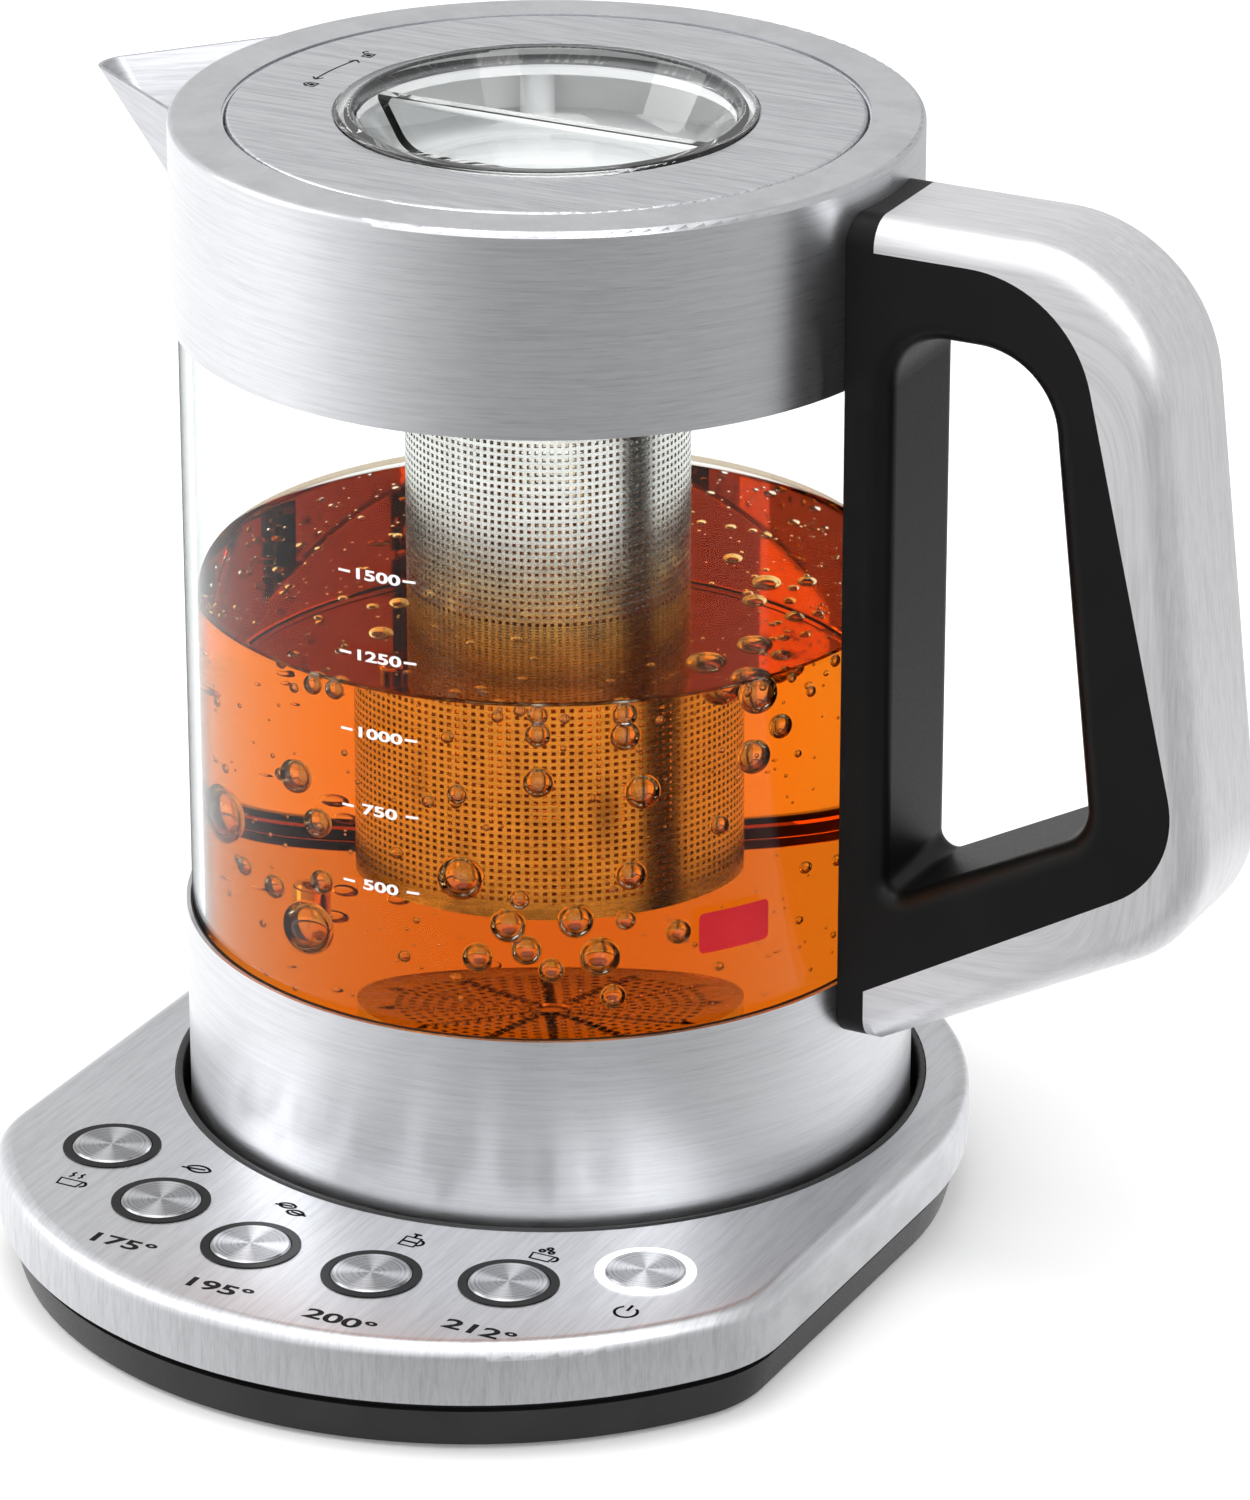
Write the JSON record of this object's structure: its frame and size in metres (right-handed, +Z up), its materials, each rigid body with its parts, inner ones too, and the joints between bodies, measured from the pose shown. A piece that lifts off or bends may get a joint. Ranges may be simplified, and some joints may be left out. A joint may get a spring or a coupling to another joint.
{
  "type": "glass tea maker",
  "caption": "Glass tea maker with a steel-collared jug, spout, loop handle and infuser lid, standing on a bow-fronted steel base with six push buttons.",
  "frame": {"origin": "on the jug's axis, in the plane that the feet stand on: the underside of the middle foot", "axes": "+X towards the handle, with the spout on -X; buttons and scale on the -Y side; +Z up"},
  "size_m": [0.2463, 0.212, 0.2273],
  "materials": {
    "stainless_brushed": "fine brushed, satin",
    "stainless_polished": "polished",
    "infuser_steel": "perforated sheet, satin",
    "black_body_plastic": "moulded, fine texture",
    "black_grip": "soft matte moulding",
    "grey_inner_plastic": "moulded, satin",
    "clear_plastic": "clear, polished",
    "borosilicate_glass": "clear",
    "silicone_seal": "moulded silicone",
    "foot_rubber": "matte",
    "dark_ring_lens": "glossy, smoked",
    "lit_ring_lens": "glossy, lit white",
    "button_steel": "spun, circular brushing",
    "contact_brass": "bright",
    "aluminium_casting": "as cast",
    "heater_sheath": "drawn tube",
    "circuit_board": "solder mask",
    "component_plastic": "moulded",
    "screw_steel": "zinc plated"
  },
  "bodies": {
    "base": {"top_cover": "stainless_brushed", "base_tray": "black_body_plastic", "rubber_feet": "foot_rubber", "base_frame": "black_body_plastic", "recess_trim": "black_body_plastic", "base_screws": "screw_steel", "cord_gland": "black_body_plastic", "control_board": "circuit_board", "board_screws": "screw_steel", "button_switches": "component_plastic", "power_relay": "component_plastic", "base_connector": "black_body_plastic", "base_contacts": "contact_brass", "light_ring_1": "dark_ring_lens", "light_ring_2": "dark_ring_lens", "light_ring_3": "dark_ring_lens", "light_ring_4": "dark_ring_lens", "light_ring_5": "dark_ring_lens", "light_ring_6": "lit_ring_lens"},
    "keep_warm_button": {"button_1": "button_steel"},
    "heat_175_button": {"button_2": "button_steel"},
    "heat_195_button": {"button_3": "button_steel"},
    "heat_200_button": {"button_4": "button_steel"},
    "heat_212_button": {"button_5": "button_steel"},
    "start_button": {"button_6": "button_steel"},
    "connector_half": {"jug_socket": "black_body_plastic", "socket_contacts": "contact_brass"},
    "jug": {"lower_collar": "stainless_brushed", "jug_bottom_cover": "black_body_plastic", "plate_studs": "screw_steel", "bottom_screws": "screw_steel", "heater_plate": "stainless_polished", "heat_spreader": "aluminium_casting", "heating_element": "heater_sheath", "control_housing": "component_plastic", "thermal_cutouts": "component_plastic", "temperature_probe": "stainless_polished", "lower_seal": "silicone_seal", "glass_body": "borosilicate_glass", "upper_seal": "silicone_seal", "inner_neck": "grey_inner_plastic", "upper_collar": "stainless_brushed", "spout": "stainless_brushed", "handle_cover": "stainless_brushed", "handle_grip": "black_grip", "handle_strap": "screw_steel", "handle_screws": "screw_steel"},
    "lid_gasket": {"lid_seal": "silicone_seal"},
    "lid": {"lid_plate": "stainless_brushed", "lid_core": "grey_inner_plastic", "lid_dial": "clear_plastic", "dial_gasket": "silicone_seal", "lid_base": "grey_inner_plastic", "lid_screws": "screw_steel"},
    "infuser": {"infuser_rim": "stainless_polished", "infuser_basket": "infuser_steel", "infuser_floor": "infuser_steel"}
  },
  "joints": [
    {"name": "jug_lift", "type": "slide", "parent": "base", "child": "connector_half", "axis": [0, 0, 1], "range_m": [0, 0.1]},
    {"name": "jug_turn", "type": "hinge", "parent": "connector_half", "child": "jug", "pos_m": [0, 0, 0.0256], "axis": [0, 0, 1], "continuous": true},
    {"name": "lid_lift", "type": "slide", "parent": "jug", "child": "lid_gasket", "axis": [0, 0, 1], "range_m": [0, 0.165]},
    {"name": "lid_turn", "type": "hinge", "parent": "lid_gasket", "child": "lid", "pos_m": [0, 0, 0.2182], "axis": [0, 0, 1], "range_deg": [-25, 0]},
    {"name": "infuser_release", "type": "slide", "parent": "lid", "child": "infuser", "axis": [0, 0, -1], "range_m": [0, 0.011]},
    {"name": "keep_warm_press", "type": "slide", "parent": "base", "child": "keep_warm_button", "axis": [0, 0, -1], "range_m": [0, 0.0008], "stiffness_N_per_m": 1200, "springref_m": -0.0006},
    {"name": "heat_175_press", "type": "slide", "parent": "base", "child": "heat_175_button", "axis": [0, 0, -1], "range_m": [0, 0.0008], "stiffness_N_per_m": 1200, "springref_m": -0.0006},
    {"name": "heat_195_press", "type": "slide", "parent": "base", "child": "heat_195_button", "axis": [0, 0, -1], "range_m": [0, 0.0008], "stiffness_N_per_m": 1200, "springref_m": -0.0006},
    {"name": "heat_200_press", "type": "slide", "parent": "base", "child": "heat_200_button", "axis": [0, 0, -1], "range_m": [0, 0.0008], "stiffness_N_per_m": 1200, "springref_m": -0.0006},
    {"name": "heat_212_press", "type": "slide", "parent": "base", "child": "heat_212_button", "axis": [0, 0, -1], "range_m": [0, 0.0008], "stiffness_N_per_m": 1200, "springref_m": -0.0006},
    {"name": "start_press", "type": "slide", "parent": "base", "child": "start_button", "axis": [0, 0, -1], "range_m": [0, 0.0008], "stiffness_N_per_m": 1200, "springref_m": -0.0006}
  ]
}
